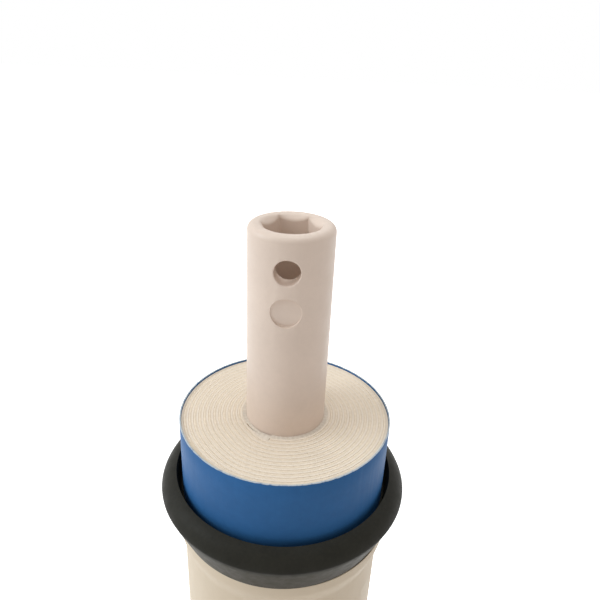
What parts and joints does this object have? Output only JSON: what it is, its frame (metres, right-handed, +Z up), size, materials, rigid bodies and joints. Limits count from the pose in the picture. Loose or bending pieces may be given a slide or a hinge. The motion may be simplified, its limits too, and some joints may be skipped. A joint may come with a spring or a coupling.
{
  "type": "reverse osmosis membrane element",
  "caption": "Slim spiral-wound water filter element: a roll bound in tape round a permeate tube, with a flared brine seal, a label wrap and O-rings at the outlet.",
  "frame": {"origin": "centre of the permeate tube's outlet end face, on which the element stands", "axes": "+Z up the permeate tube from the outlet end to the feed end, -Y the side that the mould mark faces"},
  "size_m": [0.0554, 0.0554, 0.298],
  "materials": {
    "tube_plastic": "smooth off-white moulded plastic, satin",
    "ring_rubber": "black nitrile, satin",
    "carrier_net": "stiff white tricot knit",
    "membrane": "cream membrane sheet on a non-woven backing",
    "spacer_net": "translucent cream extruded net",
    "glue": "cured amber polyurethane",
    "blue_tape": "blue PVC tape, satin",
    "seal_rubber": "black moulded rubber, matt",
    "white_label": "bare white vinyl, satin"
  },
  "bodies": {
    "root": {"permeate_tube": "tube_plastic", "outlet_ring_lower": "ring_rubber", "outlet_ring_upper": "ring_rubber", "carrier_core_wrap": "carrier_net", "membrane_leaf": "membrane", "feed_spacer": "spacer_net", "end_glue_bead": "glue", "tape_wrap": "blue_tape", "brine_seal": "seal_rubber", "label_wrap": "white_label"}
  },
  "joints": []
}
